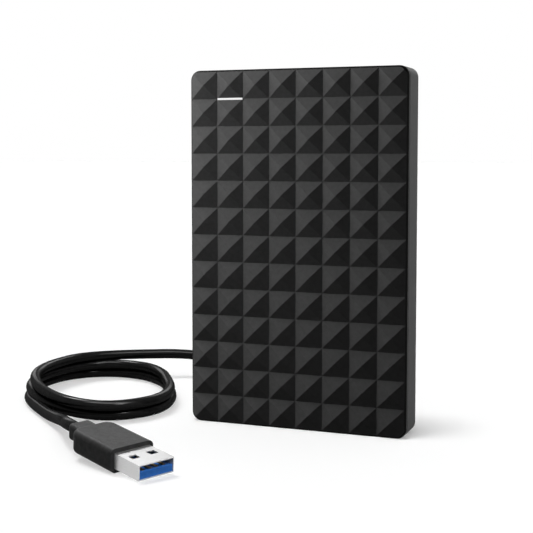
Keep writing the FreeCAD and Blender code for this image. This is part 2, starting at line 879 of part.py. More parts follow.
def make_drive_lid():
    """Pressed lid with its screws and the seal under it."""
    body = new_body("drive_lid_body")
    outline = front_sketch(body, y_rim, "lid_outline")
    draw_inset(outline, size("lid_inset"))
    pad(body, outline, size("lid_thickness"))
    drill_lid_holes(body, y_drive, size("lid_thickness"), "lid_holes")
    node(body, "drive_lid")

    seal = new_body("lid_gasket_body")
    outline = front_sketch(seal, base_y, "gasket_outline")
    draw_inset(outline, size("gasket_inset"))
    pad(seal, outline, size("gasket_thickness"))
    hollow_chamber(seal, y_rim, size("gasket_thickness"), size("gasket_grow"), "gasket")
    drill_lid_holes(seal, y_rim, size("gasket_thickness"), "gasket_holes")
    node(seal, "lid_gasket")

    screws = []
    for index, (x, z) in enumerate(lid_screw_places()):
        head = rod(f"lid_screw_head_{index}", x, z, size("screw_head_radius"),
                   y_drive - size("screw_head_height"), y_drive)
        shank = rod(f"lid_screw_shank_{index}", x, z, size("screw_radius"), y_drive,
                    base_y + size("lid_screw_depth"))
        screws.append(fuse(f"lid_screw_{index}", head, shank))
    node(group("lid_screw_group", *screws), "lid_screws")


def make_drive_board():
    """Controller board behind the base, and the connector in the notch at its top."""
    body = new_body("drive_board_body")
    outline = front_sketch(body, y_board + size("drive_board_thickness"), "board_outline")
    draw_rounded(outline, -board_x, board_x, board_z0, board_z1, size("drive_board_corner"))
    pad(body, outline, size("drive_board_thickness"))
    motor = front_sketch(body, y_board, "board_motor_hole")
    draw_circle(motor, 0, spindle_z, size("motor_hole_radius"))
    pocket(body, motor, size("drive_board_thickness"))
    node(body, "drive_board")

    block_top = notch_z + size("connector_block")
    half = plug_half - size("connector_edge")
    block = box("plug_block", -plug_half, plug_half, plug_y0, bridge_y0, notch_z, block_top)
    tongue = box("plug_tongue", -half, half, tongue_y - tongue_half, tongue_y + tongue_half,
                 block_top, z_drive_top - clear)
    key_x = -plug_half * 0.32
    key = box("plug_key", key_x, key_x + size("connector_block"), plug_y0, bridge_y0,
              block_top, z_drive_top)
    gap = cut("plug_tongue_split", tongue, key)
    node(fuse("plug_solid", block, gap), "mechanism_connector")


# The turning parts

def make_disk_stack():
    """Two platters with spacer and clamp on the hub of the spindle motor."""
    bore = size("platter_bore")
    for name, y0 in (("front_platter", y_front_platter), ("back_platter", y_back_platter)):
        disk = rod(name + "_disk", 0, spindle_z, platter_r, y0, y0 + platter_t)
        hole = rod(name + "_bore", 0, spindle_z, bore, y0 - OVERRUN, y0 + OVERRUN)
        node(cut(name + "_solid", disk, hole), name)

    ring = bore + size("flange_width")
    spacer = rod("spacer_disk", 0, spindle_z, ring, y_spacer, y_back_platter)
    spacer_bore = rod("spacer_bore", 0, spindle_z, bore, y_spacer - OVERRUN, y_back_platter + OVERRUN)
    node(cut("spacer_solid", spacer, spacer_bore), "platter_spacer")

    clamp = rod("clamp_disk", 0, spindle_z, ring, y_clamp, y_front_platter)
    tapped_r = size("screw_radius") + clear
    clamp_hole = rod("clamp_hole", 0, spindle_z, tapped_r, y_clamp - OVERRUN, y_spacer)
    node(cut("clamp_solid", clamp, clamp_hole), "disk_clamp")

    screw_head = rod("clamp_screw_head", 0, spindle_z, size("screw_head_radius"),
                     y_clamp - size("lid_room") / 2, y_clamp)
    y_plate = y_spacer + size("hub_plate")
    screw_shank = rod("clamp_screw_shank", 0, spindle_z, size("screw_radius"), y_clamp, y_plate)
    node(fuse("clamp_screw_solid", screw_head, screw_shank), "clamp_screw")

    hub_r = bore - clear
    cup_r = hub_r - size("hub_rim")
    y_top = y_front_platter + size("hub_sink")
    core = rod("hub_core", 0, spindle_z, hub_r, y_top, y_hub_end)
    flange = rod("hub_flange", 0, spindle_z, ring, y_flange, y_hub_end)
    cup = rod("hub_cup", 0, spindle_z, cup_r, y_plate, y_hub_end + OVERRUN)
    shaft = rod("hub_shaft", 0, spindle_z, size("shaft_radius"), y_spacer, y_chamber - clear)
    tapped = rod("hub_tapped_hole", 0, spindle_z, tapped_r, y_top - OVERRUN, y_plate + clear)
    hollow_hub = cut("hub_hollow", fuse("hub_blank", core, flange), cup)
    node(cut("hub_solid", fuse("hub_with_shaft", hollow_hub, shaft), tapped), "spindle_hub")

    magnet_r = cup_r - size("rotor_magnet_thickness")
    y_inside = y_plate + size("hub_room")
    magnet = rod("rotor_ring", 0, spindle_z, cup_r - clear, y_inside, y_hub_end)
    magnet_hole = rod("rotor_hole", 0, spindle_z, magnet_r, y_plate, y_hub_end + OVERRUN)
    node(cut("rotor_solid", magnet, magnet_hole), "rotor_magnet")

    stator_r = magnet_r - size("air_gap")
    sleeve_r = size("shaft_radius") + size("sleeve_thickness")
    ring_blank = rod("stator_blank", 0, spindle_z, stator_r, y_inside, y_chamber)
    stator_hole = rod("stator_hole", 0, spindle_z, sleeve_r + clear, y_plate, y_chamber + OVERRUN)
    teeth = []
    tooth_count = 9
    for index in range(tooth_count):
        angle = 2 * math.pi * index / tooth_count
        middle = (sleeve_r + stator_r) / 2 + size("stator_slot_radius")
        teeth.append(rod(f"stator_slot_{index}", middle * math.cos(angle),
                         spindle_z + middle * math.sin(angle), size("stator_slot_radius"),
                         y_plate, y_chamber - size("stator_floor")))
    node(cut("stator_solid", ring_blank, stator_hole, *teeth), "motor_stator")

    sleeve = rod("sleeve_blank", 0, spindle_z, sleeve_r, y_inside, y_chamber + size("sleeve_seat"))
    sleeve_bore = rod("sleeve_bore", 0, spindle_z, size("shaft_radius") + clear, y_plate, y_chamber)
    node(cut("sleeve_solid", sleeve, sleeve_bore), "bearing_sleeve")


def actuator_body(name):
    """A body whose own origin is the pivot, with its X axis along the parked arm."""
    body = new_body(name)
    turn = FreeCAD.Rotation(FreeCAD.Vector(0, -1, 0), PARKED_ANGLE)
    place(body, pivot_x, 0, pivot_z, turn)
    return body


arm_reach = platter_r * ARM_REACH
arm_tip = platter_r * ARM_TIP
y_arms = [
    (y_front_platter - size("arm_air") - size("arm_thickness"), size("arm_thickness")),
    (y_middle - size("middle_arm_thickness") / 2, size("middle_arm_thickness")),
    (y_flange + size("arm_air"), size("arm_thickness")),
]
y_coil = y_middle - size("coil_thickness") / 2


def polar(radius, degrees):
    """Driven point at a radius and an angle, about a body's origin."""
    angle = math.radians(degrees)
    return (radius * math.cos(angle), radius * math.sin(angle))


def make_actuator():
    """Arm with its voice coil, spring suspensions and heads, parked off the platters."""
    body = actuator_body("actuator_arm_body")
    hub_y0 = y_arms[0][0]
    hub_y1 = y_arms[2][0] + y_arms[2][1]
    hub = front_sketch(body, hub_y1, "arm_hub")
    draw_circle(hub, 0, 0, size("arm_hub_radius"))
    pad(body, hub, hub_y1 - hub_y0)
    root = size("arm_hub_radius") * 0.8
    tip_half = size("arm_tip_half")
    for index, (y0, thickness) in enumerate(y_arms):
        blade = front_sketch(body, y0 + thickness, f"arm_blade_{index}")
        draw_polygon(blade, [(0, -root), (arm_tip, -tip_half), (arm_tip, tip_half), (0, root)])
        pad(body, blade, thickness)
    fork = front_sketch(body, y_coil + size("coil_thickness"), "arm_fork")
    draw_polygon(fork, [
        polar(root, COIL_TURN - FORK_HALF_ANGLE),
        polar(coil_inner, COIL_TURN - COIL_HALF_ANGLE),
        polar(coil_inner, COIL_TURN + COIL_HALF_ANGLE),
        polar(root, COIL_TURN + FORK_HALF_ANGLE),
    ])
    pad(body, fork, size("coil_thickness"))
    bore = front_sketch(body, hub_y0, "arm_bore")
    draw_circle(bore, 0, 0, size("pivot_radius") + clear)
    pocket(body, bore, hub_y1 - hub_y0)
    node(body, "actuator_arm")

    coil = actuator_body("voice_coil_body")
    loop = front_sketch(coil, y_coil + size("coil_thickness"), "coil_loop")
    winding = size("coil_winding")
    for start, end, half in ((coil_inner, coil_outer, COIL_HALF_ANGLE),
                             (coil_inner + winding, coil_outer - winding, COIL_HOLE_HALF_ANGLE)):
        draw_polygon(loop, [
            polar(start, COIL_TURN - half),
            polar(end, COIL_TURN - half),
            polar(end, COIL_TURN + half),
            polar(start, COIL_TURN + half),
        ])
    pad(coil, loop, size("coil_thickness"))
    node(coil, "voice_coil")

    spring_t = size("suspension_thickness")
    low_arm, middle_arm, high_arm = y_arms
    faces = [
        (low_arm[0] + low_arm[1], 1, y_front_platter - size("head_gap")),
        (middle_arm[0], -1, y_spacer + size("head_gap")),
        (middle_arm[0] + middle_arm[1], 1, y_back_platter - size("head_gap")),
        (high_arm[0], -1, y_flange + size("head_gap")),
    ]
    springs = []
    heads = []
    for index, (y_face, side, y_air) in enumerate(faces):
        y_end = y_face + side * spring_t
        springs.append(make_suspension(index, y_end if side > 0 else y_face))
        low, high = (y_end, y_air) if side > 0 else (y_air, y_end)
        heads.append(make_head(index, low, high))
    node(group("suspension_group", *springs), "head_suspensions")
    node(group("head_group", *heads), "read_heads")


def make_suspension(index, y_far):
    """A leaf spring from the arm's tip to a head, with the lift tab that rests on the ramp."""
    spring = actuator_body(f"suspension_{index}")
    shape = front_sketch(spring, y_far, f"suspension_outline_{index}")
    wide = size("arm_tip_half") - clear
    narrow = size("head_width") * 0.6
    tab = size("head_width") * 0.4
    overlap = 2.5 * wide
    half_head = size("head_length") / 2
    tab_end = arm_reach + size("tab_length")
    upper = [
        (tab_end, tab),
        (arm_reach + half_head, narrow),
        (arm_tip + half_head, wide),
        (arm_tip - overlap, wide),
    ]
    lower = [(x, -z) for x, z in reversed(upper)]
    draw_polygon(shape, lower + upper)
    pad(spring, shape, size("suspension_thickness"))
    return spring


def make_head(index, y_low, y_high):
    """A slider with a read head, on the platter side of its suspension."""
    slider = actuator_body(f"head_{index}")
    shape = front_sketch(slider, y_high, f"head_outline_{index}")
    half_length = size("head_length") / 2
    half_width = size("head_width") / 2
    draw_polygon(shape, [
        (arm_reach - half_length, -half_width),
        (arm_reach + half_length, -half_width),
        (arm_reach + half_length, half_width),
        (arm_reach - half_length, half_width),
    ])
    pad(slider, shape, y_high - y_low)
    return slider


def make_actuator_seat():
    """What the arm turns on and in: pivot post, magnets with their yokes, parking ramp and filter."""
    y_near_yoke = y_rim + size("yoke_gap")
    post = rod("pivot_blank", pivot_x, pivot_z, size("pivot_radius"), y_near_yoke, y_chamber)
    node(post, "pivot_post")

    inner = coil_inner - size("suspension_thickness")
    y_far_yoke = y_chamber - size("yoke_thickness")
    y_near_magnet = y_near_yoke + size("yoke_thickness")
    back = sector("back_yoke_plate", pivot_x, pivot_z, inner, yoke_outer, YOKE_START, YOKE_SPAN,
                  y_far_yoke, y_chamber)
    post_r = size("yoke_post_radius")
    post_reach = yoke_outer - 1.5 * post_r
    posts = []
    post_angles = (YOKE_START + YOKE_POST_INSET, YOKE_START + YOKE_SPAN - YOKE_POST_INSET)
    for index, degrees in enumerate(post_angles):
        right, up = polar(post_reach, degrees)
        posts.append(rod(f"yoke_post_{index}", pivot_x + right, pivot_z + up, post_r,
                         y_near_magnet, y_far_yoke))
    node(fuse("back_yoke_solid", back, *posts), "back_yoke")
    front = sector("front_yoke_plate", pivot_x, pivot_z, inner, yoke_outer, YOKE_START, YOKE_SPAN,
                   y_near_yoke, y_near_magnet)
    node(front, "front_yoke")
    magnet_t = size("magnet_thickness")
    for name, y0 in (("front_magnet", y_near_magnet), ("back_magnet", y_far_yoke - magnet_t)):
        slab = sector(name + "_slab", pivot_x, pivot_z, coil_inner, coil_outer, YOKE_START + MAGNET_INSET,
                      YOKE_SPAN - 2 * MAGNET_INSET, y0, y0 + magnet_t)
        node(slab, name)
    make_ramp()

    filter_x = size("bay_wall") - bay_left
    filter_side = size("bumper_reach")
    block = box("filter_block", filter_x, filter_x + filter_side, y_middle, y_chamber,
                bay_z1 - size("bay_wall") - filter_side, bay_z1 - size("bay_wall"))
    node(block, "air_filter")


def make_ramp():
    """Plastic comb beside the platters, whose shelves carry the lift tabs of the parked arm."""
    air = size("ramp_air")
    spring_t = size("suspension_thickness")
    shelf_in = arm_reach + size("head_length")
    stop_in = arm_reach + size("tab_length") + 8 * air
    stop_out = stop_in + size("ramp_stop")
    start = PARKED_ANGLE - RAMP_SPAN / 2
    y_first = y_arms[0][0] + y_arms[0][1] + spring_t + air
    y_last = y_arms[2][0] - spring_t - air
    y_before = y_arms[1][0] - spring_t - air
    y_after = y_arms[1][0] + y_arms[1][1] + spring_t + air
    stop = sector("ramp_stop", pivot_x, pivot_z, stop_in, stop_out, start, RAMP_SPAN, y_first, y_chamber)
    shelves = [
        sector(name, pivot_x, pivot_z, shelf_in, stop_in + air, start, RAMP_SPAN, y0, y1)
        for name, y0, y1 in (("ramp_near_shelf", y_first, y_before), ("ramp_far_shelf", y_after, y_last))
    ]
    node(fuse("ramp_solid", stop, *shelves), "load_ramp")


# The lead

def lay(right, near, z):
    """A point of the lead: to the right and towards the viewer of the layout view, and up."""
    angle = math.radians(LAYOUT_AZIMUTH)
    return FreeCAD.Vector(right * math.cos(angle) + near * math.sin(angle),
                          right * math.sin(angle) - near * math.cos(angle), z)


COIL_CENTRE = (-72.0, -43.3)

# Routes outside the coil, in layout coordinates: right, near, height
LEAD_ROUTE = [
    (-8.0, -70.0, 3.65),
    (-17.1, -77.9, 3.65),
    (-30.0, -83.6, 7.2),
    (-45.5, -84.5, 9.2),
    (-60.0, -83.6, 9.0),
    (-75.5, -80.6, 8.9),
]
TAIL_ROUTE = [
    (-99.0, -46.0, 2.0),
    (-98.0, -35.0, 2.0),
    (-91.2, -22.4, 2.0),
    (-83.2, -6.0, 2.5),
    (-76.9, 9.2, 4.4),
    (-72.3, 27.3, 7.15),
    (-68.4, 31.7, 6.6),
]


def tube(name, route):
    """A cord solid along straight runs joined by tangent arcs as large as the runs allow."""
    points = [lay(*point) for point in route]
    radius = SIZES["cord_diameter"] / 2
    edges = []
    radii = []
    start = points[0]
    for before, corner, after in zip(points, points[1:], points[2:]):
        into = (corner - before).normalize()
        out = (after - corner).normalize()
        turn = into.getAngle(out)
        trim = 0.45 * min((corner - before).Length, (after - corner).Length)
        radii.append(trim / math.tan(turn / 2))
        first = corner - into * trim
        last = corner + out * trim
        middle = corner + (out - into).normalize() * (radii[-1] / math.cos(turn / 2) - radii[-1])
        edges.append(Part.LineSegment(start, first).toShape())
        edges.append(Part.Arc(first, middle, last).toShape())
        start = last
    edges.append(Part.LineSegment(start, points[-1]).toShape())
    path = Part.Wire(edges)
    print(name, "radii", [round(item, 1) for item in radii], "length", round(path.Length, 1))

    ring = Part.makeCircle(radius, points[0], (points[1] - points[0]).normalize())
    solid = path.makePipeShell([Part.Wire(ring)], True, True)
    expected = math.pi * radius ** 2 * path.Length
    print(name, "volume over section times length", round(solid.Volume / expected, 4))
    made = doc.addObject("Part::Feature", name + "_solid")
    made.Shape = solid
    return node(made, name)


def make_coil():
    """Outer shape of the loosely coiled stretch: an oval ring that lies on the floor."""
    half_cord = size("cord_diameter") / 2
    long_axis = size("coil_half_depth") + half_cord
    short_axis = size("coil_half_width") + half_cord
    turn = FreeCAD.Rotation(FreeCAD.Vector(0, 0, 1), LAYOUT_AZIMUTH + COIL_LEAN + 90)
    centre = lay(*COIL_CENTRE, 0)
    ovals = []
    for name, inset, past in (("coil_outer", 0, 0), ("coil_inner", size("coil_band"), OVERRUN)):
        face = doc.addObject("Part::Ellipse", name + "_line")
        bind(face, "MajorRadius", long_axis - inset)
        bind(face, "MinorRadius", short_axis - inset)
        place(face, centre.x, centre.y, -past, turn)
        block = doc.addObject("Part::Extrusion", name)
        block.Base = face
        block.DirMode = "Normal"
        block.Solid = True
        bind(block, "LengthFwd", size("coil_height") + 2 * past)
        ovals.append(block)
    return node(cut("coil_solid", *ovals), "cord_coil")


def plug_box(name, x0, x1, width, height):
    """A block of a plug, centred on its own X axis."""
    return box(name, x0, x1, -width / 2, width / 2, -height / 2, height / 2)


def make_grip(name, length, shell_w, shell_h):
    """The moulded grip of a plug: round shoulders, soft rims, a neck for the cord, bored for the shell."""
    neck_l = size("plug_neck_length")
    end = neck_l + length
    half_w = size("plug_grip_width") / 2
    half_h = size("plug_grip_height") / 2
    block = plug_box(name + "_grip_block", neck_l, end, size("plug_grip_width"), size("plug_grip_height"))
    rounded = soften(name + "_grip_shoulders", block, SIZES["plug_grip_shoulder"],
                     lambda point: same(point.x, neck_l) and same(abs(point.y), half_w))
    grip = soften(name + "_grip_rims", rounded, SIZES["plug_grip_edge"],
                  lambda point: same(abs(point.z), half_h) and not same(point.x, end))
    block = plug_box(name + "_neck_block", 0, neck_l + size("plug_grip_shoulder"), size("plug_neck_width"),
                     size("plug_neck_height"))
    neck = soften(name + "_neck_rims", block, SIZES["plug_neck_edge"], lambda point: True)
    seat = plug_box(name + "_grip_seat", end - size("plug_shell_sunk"), end + OVERRUN, shell_w, shell_h)
    return cut(name + "_grip_solid", fuse(name + "_grip_blank", grip, neck), seat)


def make_host_plug():
    """The plug for the computer: moulded grip, steel shell, tongue and contacts."""
    shell_l = size("plug_shell_length")
    shell_w = size("plug_shell_width")
    shell_h = size("plug_shell_height")
    skin = size("sheet_metal")
    tail = lay(*TAIL_ROUTE[-1])
    rotation = FreeCAD.Rotation(HOST_PLUG_HEADING, HOST_PLUG_PITCH, HOST_PLUG_ROLL)

    def settle(thing, name):
        place(thing, tail.x, tail.y, tail.z, rotation)
        return node(thing, name)

    settle(make_grip("host", size("plug_grip_length"), shell_w, shell_h), "host_plug_grip")
    mouth = size("plug_neck_length") + size("plug_grip_length")
    rear = mouth - size("plug_shell_sunk")
    tip = mouth + shell_l
    outside = plug_box("host_shell_block", rear, tip, shell_w, shell_h)
    inside = plug_box("host_shell_hollow", rear + skin, tip + OVERRUN,
                      shell_w - 2 * skin, shell_h - 2 * skin)
    hole = size("plug_hole_side")
    hole_x = mouth + size("plug_hole_reach")
    holes = []
    for side in (-1, 1):
        y = side * size("plug_hole_spread")
        holes.append(box(f"host_shell_hole_{side}", hole_x, hole_x + hole, y - hole / 2, y + hole / 2,
                         -shell_h, shell_h))
    settle(cut("host_shell_solid", outside, inside, *holes), "host_plug_shell")

    half_w = shell_w / 2 - skin
    low = skin - shell_h / 2
    top = low + size("plug_tongue_height")
    tongue_end = tip - size("plug_tongue_sink")
    tongue = box("host_tongue_block", rear + skin, tongue_end, -half_w, half_w, low, top)
    settle(group("host_tongue_solid", tongue), "host_plug_tongue")
    strips = []
    strip = size("plug_contact_width")
    strip_count = 4
    for index in range(strip_count):
        y = size("plug_contact_spread") * (index / (strip_count - 1) - 0.5)
        strips.append(box(f"host_contact_{index}", mouth, tongue_end - strip, y - strip / 2, y + strip / 2,
                          top, top + size("plug_contact_height")))
    settle(group("host_contact_group", *strips), "host_plug_contacts")


def make_drive_plug():
    """The plug for the drive's port: moulded grip, flat steel shell and the insert in it."""
    tail = lay(*LEAD_ROUTE[0])
    rotation = FreeCAD.Rotation(FreeCAD.Vector(0, 0, 1), DRIVE_PLUG_HEADING)
    skin = size("sheet_metal")
    shell_w = size("port_width") - 2 * skin - size("drive_plug_play")
    shell_h = size("port_height") - 2 * skin - size("drive_plug_play")
    mouth = size("plug_neck_length") + size("drive_plug_length")
    rear = mouth - size("plug_shell_sunk")
    tip = mouth + size("port_depth") - size("port_tongue_sink")

    def settle(thing, name):
        place(thing, tail.x, tail.y, tail.z, rotation)
        return node(thing, name)

    settle(make_grip("drive", size("drive_plug_length"), shell_w, shell_h), "drive_plug_grip")
    outside = plug_box("drive_shell_block", rear, tip, shell_w, shell_h)
    inside = plug_box("drive_shell_hollow", rear + skin, tip + OVERRUN,
                      shell_w - 2 * skin, shell_h - 2 * skin)
    settle(cut("drive_shell_solid", outside, inside), "drive_plug_shell")
    low = skin - shell_h / 2
    insert = box("drive_insert_block", rear + skin, tip - skin, skin - shell_w / 2, shell_w / 2 - skin,
                 low, low + size("drive_plug_insert"))
    settle(group("drive_insert_solid", insert), "drive_plug_insert")


make_front_cover()
make_back_cover()
make_light_pipe()
make_bumpers()
make_bridge()
make_drive_base()
make_drive_lid()
make_drive_board()
make_disk_stack()
make_actuator()
make_actuator_seat()
tube("cord_lead", LEAD_ROUTE)
tube("cord_tail", TAIL_ROUTE)
make_coil()
make_host_plug()
make_drive_plug()
doc.recompute()

faults = [thing.Name for thing in doc.Objects if "Invalid" in thing.State or "Error" in thing.State]
if faults:
    raise RuntimeError(f"features that failed: {faults}")
os.makedirs("parts", exist_ok=True)
for part in NODES:
    if part.Shape.isNull() or not part.Shape.isValid():
        raise RuntimeError(f"bad shape: {part.Label}")
    part.Shape.exportStep(f"parts/{part.Label}.step")
    extent = part.Shape.BoundBox
    print(f"{part.Label}: {len(part.Shape.Solids)} solids, {part.Shape.Volume:.1f} mm3, "
          f"x {extent.XMin:.2f} {extent.XMax:.2f} y {extent.YMin:.2f} {extent.YMax:.2f} "
          f"z {extent.ZMin:.2f} {extent.ZMax:.2f}")
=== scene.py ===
import json
import math

import bpy
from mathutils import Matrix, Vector


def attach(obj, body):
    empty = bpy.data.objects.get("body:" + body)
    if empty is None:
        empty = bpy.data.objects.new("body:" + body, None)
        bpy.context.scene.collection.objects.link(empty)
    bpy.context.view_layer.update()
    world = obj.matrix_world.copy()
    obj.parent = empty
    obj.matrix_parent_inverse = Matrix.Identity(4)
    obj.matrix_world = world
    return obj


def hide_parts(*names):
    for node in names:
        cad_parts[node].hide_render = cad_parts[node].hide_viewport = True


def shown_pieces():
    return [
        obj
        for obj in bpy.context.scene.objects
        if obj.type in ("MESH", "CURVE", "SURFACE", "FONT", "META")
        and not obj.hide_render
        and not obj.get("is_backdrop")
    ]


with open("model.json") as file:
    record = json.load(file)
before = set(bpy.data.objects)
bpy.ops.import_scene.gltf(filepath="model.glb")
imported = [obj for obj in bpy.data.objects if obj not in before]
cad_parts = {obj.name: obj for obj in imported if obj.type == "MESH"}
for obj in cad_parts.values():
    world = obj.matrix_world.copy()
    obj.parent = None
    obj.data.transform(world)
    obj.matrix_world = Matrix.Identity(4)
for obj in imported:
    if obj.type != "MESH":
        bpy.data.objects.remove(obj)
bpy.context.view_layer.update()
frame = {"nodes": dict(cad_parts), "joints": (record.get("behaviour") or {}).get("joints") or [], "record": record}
nodes = frame["nodes"]
record = frame["record"]

MM = 0.001

# Camera, as fitted to the photograph
PHOTO_SIDE = 533
VIEW_AZIMUTH = 21.28
VIEW_ELEVATION = 4.0
VIEW_DISTANCE = 0.370
AIM_RIGHT = -0.01148
AIM_UP = 0.0643
FOCAL_PIXELS = 1132.0
PRINCIPAL_ROW = 231.6
SENSOR = 36.0
NEAR_CLIP = 0.01

# The lead: how it lies, in a layout turned by this azimuth (right, towards the viewer, up; millimetres)
LAYOUT_AZIMUTH = 21.0
CORD_DIAMETER = 0.0038
CORD_ROUNDNESS = 6
CORD_STEPS = 8
LEAD_ROUTE = [
    (-8.0, -70.0, 3.65),
    (-17.1, -77.9, 3.65),
    (-30.0, -83.6, 7.2),
    (-45.5, -84.5, 8.9),
    (-60.0, -83.6, 8.9),
    (-75.5, -80.6, 8.9),
]
TAIL_ROUTE = [
    (-98.4, -45.0, 2.0),
    (-97.4, -33.0, 2.0),
    (-91.8, -20.0, 2.0),
    (-84.0, -4.4, 2.2),
    (-76.9, 9.6, 3.9),
    (-72.3, 27.3, 7.15),
    (-68.4, 31.7, 6.6),
]

# The coil: a leaning oval, and its turns from the back round the left: angle, share of the oval, height
COIL_CENTRE = (-72.0, -43.3)
COIL_LEAN = 8.4
COIL_HALF_WIDTH = 25.0
COIL_HALF_DEPTH = 37.0
COIL_KEYS = [
    (90, 0.975, 9.1),
    (135, 0.900, 9.1),
    (180, 0.975, 8.9),
    (225, 0.975, 6.6),
    (270, 1.065, 5.4),
    (315, 1.120, 5.4),
    (360, 0.935, 5.5),
    (405, 1.005, 5.5),
    (450, 0.970, 5.5),
    (495, 0.955, 5.5),
    (540, 1.045, 5.4),
    (585, 0.960, 3.2),
    (630, 1.010, 1.95),
    (675, 1.105, 1.95),
    (720, 0.975, 1.95),
    (765, 1.005, 1.95),
    (810, 1.015, 1.95),
    (855, 1.055, 1.95),
    (900, 1.060, 1.95),
]
COIL_STEP = 22.5
COIL_START = 112.5
COIL_END = 877.5


def lay(right, near, up):
    """A point of the layout in the part's frame, in metres."""
    angle = math.radians(LAYOUT_AZIMUTH)
    x = right * math.cos(angle) + near * math.sin(angle)
    y = right * math.sin(angle) - near * math.cos(angle)
    return Vector((x, y, up)) * MM


def key_at(angle):
    """The coil's share of the oval and its height at an angle, between two keys."""
    for before, after in zip(COIL_KEYS, COIL_KEYS[1:]):
        if angle <= after[0]:
            way = (angle - before[0]) / (after[0] - before[0])
            return [a + (b - a) * way for a, b in zip(before[1:], after[1:])]
    return COIL_KEYS[-1][1:]


def coil_points():
    """The turns of the coil, from the back round the left, front and right."""
    # Midway a spline of order 3 lies at (6 + 2 cos step) / 8 of its points' radius, so they stand out
    swell = 8 / (6 + 2 * math.cos(math.radians(COIL_STEP)))
    lean = math.radians(COIL_LEAN)
    points = []
    for step in range(round((COIL_END - COIL_START) / COIL_STEP) + 1):
        degrees = COIL_START + step * COIL_STEP
        share, up = key_at(degrees)
        angle = math.radians(degrees)
        across = COIL_HALF_WIDTH * share * swell * math.cos(angle)
        along = -COIL_HALF_DEPTH * share * swell * math.sin(angle)
        right = COIL_CENTRE[0] + across * math.cos(lean) + along * math.sin(lean)
        near = COIL_CENTRE[1] - across * math.sin(lean) + along * math.cos(lean)
        points.append((right, near, up))
    return points


def make_cord():
    """The lead as one smooth line from the drive's plug through the coil to the host's plug."""
    route = LEAD_ROUTE + coil_points() + TAIL_ROUTE
    data = bpy.data.curves.new("cord", "CURVE")
    data.dimensions = "3D"
    data.bevel_depth = 1.0
    data.bevel_resolution = CORD_ROUNDNESS
    data.resolution_u = CORD_STEPS
    data.use_fill_caps = True
    spline = data.splines.new("NURBS")
    spline.points.add(len(route) - 1)
    for point, place in zip(spline.points, route):
        point.co = (*lay(*place), 1.0)
        point.radius = CORD_DIAMETER / 2
    spline.order_u = 3
    spline.use_endpoint_u = True
    cord = bpy.data.objects.new("cord", data)
    bpy.context.collection.objects.link(cord)
    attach(cord, "case")
    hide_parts("cord_lead", "cord_coil", "cord_tail")
    return cord


def make_camera():
    azimuth = math.radians(VIEW_AZIMUTH)
    elevation = math.radians(VIEW_ELEVATION)
    back = Vector((
        math.sin(azimuth) * math.cos(elevation),
        -math.cos(azimuth) * math.cos(elevation),
        math.sin(elevation),
    ))
    aim = Vector((AIM_RIGHT * math.cos(azimuth), AIM_RIGHT * math.sin(azimuth), AIM_UP))
    data = bpy.data.cameras.new("camera")
    data.sensor_width = SENSOR
    data.lens = SENSOR * FOCAL_PIXELS / PHOTO_SIDE
    data.shift_y = (PRINCIPAL_ROW - PHOTO_SIDE / 2) / PHOTO_SIDE
    data.clip_start = NEAR_CLIP
    camera = bpy.data.objects.new("camera", data)
    camera.location = aim + back * VIEW_DISTANCE
    camera.rotation_mode = "QUATERNION"
    camera.rotation_quaternion = (-back).to_track_quat("-Z", "Y")
    bpy.context.collection.objects.link(camera)
    bpy.context.scene.camera = camera


# Materials: a noise lies between these two levels for most of its area
NOISE_LOW = 0.3
NOISE_HIGH = 0.7
# Drawn out this much along an axis, a pattern no longer changes along it
ENDLESS = 1e6


